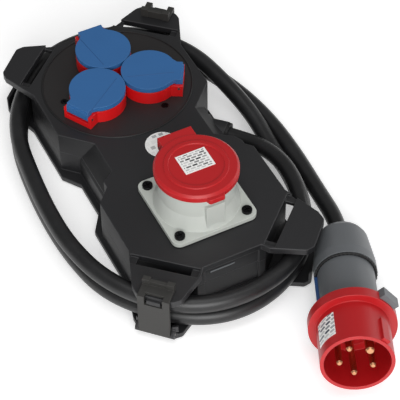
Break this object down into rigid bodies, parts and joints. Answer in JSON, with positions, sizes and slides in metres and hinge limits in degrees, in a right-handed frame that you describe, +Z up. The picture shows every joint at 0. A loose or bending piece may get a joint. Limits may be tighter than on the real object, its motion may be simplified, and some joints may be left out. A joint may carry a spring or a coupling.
{
  "type": "portable power distribution box",
  "caption": "Flat black rubber power box with lidded round sockets, a large lidded industrial socket, corner horns holding a wound lead, rubber straps and a pin-type plug.",
  "frame": {"origin": "middle of the box (without its lead and plug) on the surface it stands on", "axes": "+Z up, +X across the box, +Y along the box towards the disc with the domestic sockets"},
  "size_m": [0.2338, 0.4501, 0.0944],
  "materials": {
    "black_screw": "black oxide",
    "cable_rubber": "satin, powdered rubber sheath",
    "cee_grey": "satin moulded, light grey",
    "contact_brass": "turned, lightly tarnished",
    "dark_red": "satin moulded",
    "disc_plastic": "fine spark-eroded grain",
    "feet_rubber": "matt",
    "insert_grey": "moulded thermoset",
    "label_white": "satin film label",
    "latch_blue": "fine grain moulded",
    "lid_blue": "fine grain moulded",
    "plug_grey": "fine grain moulded",
    "seal_rubber": "matt",
    "shell_rubber": "matt, fine-grained moulded rubber compound",
    "signal_red": "satin moulded",
    "socket_red": "satin moulded",
    "steel_pin": "drawn",
    "strap_rubber": "matt, slightly worn",
    "zinc_screw": "zinc-plated"
  },
  "bodies": {
    "box": {"cable_grommet": "seal_rubber", "cee_contact_sleeves": "contact_brass", "cee_flange_seal": "seal_rubber", "cee_housing": "cee_grey", "cee_insert": "insert_grey", "cee_lid_pin": "steel_pin", "cee_screws": "black_screw", "clamp_bar": "insert_grey", "clamp_saddle": "insert_grey", "clamp_screws": "zinc_screw", "clip_guides_1": "insert_grey", "clip_guides_2": "insert_grey", "clip_guides_3": "insert_grey", "disc_screws": "black_screw", "earth_clips_1": "contact_brass", "earth_clips_2": "contact_brass", "earth_clips_3": "contact_brass", "housing_screws": "zinc_screw", "lid_pin_1": "steel_pin", "lid_pin_2": "steel_pin", "lid_pin_3": "steel_pin", "lower_shell": "shell_rubber", "plug_body": "plug_grey", "plug_gland_nut": "plug_grey", "plug_gland_seal": "seal_rubber", "plug_label": "label_white", "plug_latch_lug": "plug_grey", "plug_latch_strip": "latch_blue", "plug_pin_carrier": "dark_red", "plug_pins": "contact_brass", "plug_shroud": "signal_red", "round_sticker": "label_white", "rubber_feet": "feet_rubber", "socket_base_1": "socket_red", "socket_base_2": "socket_red", "socket_base_3": "socket_red", "socket_contacts_1": "contact_brass", "socket_contacts_2": "contact_brass", "socket_contacts_3": "contact_brass", "socket_disc": "disc_plastic", "socket_insert_1": "insert_grey", "socket_insert_2": "insert_grey", "socket_insert_3": "insert_grey", "strap_front_pin": "steel_pin", "strap_rear_pin": "steel_pin", "supply_cable": "cable_rubber", "terminal_block": "insert_grey", "terminal_screws": "contact_brass", "upper_shell": "shell_rubber"},
    "lid_1": {"socket_lid_1": "lid_blue", "lid_seal_1": "seal_rubber"},
    "lid_2": {"socket_lid_2": "lid_blue", "lid_seal_2": "seal_rubber"},
    "lid_3": {"socket_lid_3": "lid_blue", "lid_seal_3": "seal_rubber"},
    "industrial_lid": {"cee_lid": "signal_red", "cee_lid_seal": "seal_rubber", "rating_label": "label_white"},
    "strap_front": {"strap_front": "strap_rubber"},
    "strap_rear": {"strap_rear": "strap_rubber"}
  },
  "joints": [
    {"name": "lid_1_hinge", "type": "hinge", "parent": "box", "child": "lid_1", "pos_m": [0, 0.1346, 0.057], "axis": [-1, 0, 0], "range_deg": [0, 98], "stiffness_Nm_per_rad": 0.02, "springref_deg": -34.38},
    {"name": "lid_2_hinge", "type": "hinge", "parent": "box", "child": "lid_2", "pos_m": [-0.04729, 0.0527, 0.057], "axis": [0.5, -0.866, 0], "range_deg": [0, 98], "stiffness_Nm_per_rad": 0.02, "springref_deg": -34.38},
    {"name": "lid_3_hinge", "type": "hinge", "parent": "box", "child": "lid_3", "pos_m": [0.04729, 0.0527, 0.057], "axis": [0.5, 0.866, 0], "range_deg": [0, 98], "stiffness_Nm_per_rad": 0.02, "springref_deg": -34.38},
    {"name": "industrial_lid_hinge", "type": "hinge", "parent": "box", "child": "industrial_lid", "pos_m": [0, -0.038, 0.084], "axis": [-1, 0, 0], "range_deg": [0, 95], "stiffness_Nm_per_rad": 0.05, "springref_deg": -45.84},
    {"name": "strap_front_hinge", "type": "hinge", "parent": "box", "child": "strap_front", "pos_m": [-0.07243, -0.14743, 0.008], "axis": [0.7071, -0.7071, 0], "range_deg": [0, 90]},
    {"name": "strap_rear_hinge", "type": "hinge", "parent": "box", "child": "strap_rear", "pos_m": [0.07243, 0.14743, 0.008], "axis": [-0.7071, 0.7071, 0], "range_deg": [0, 90]}
  ]
}
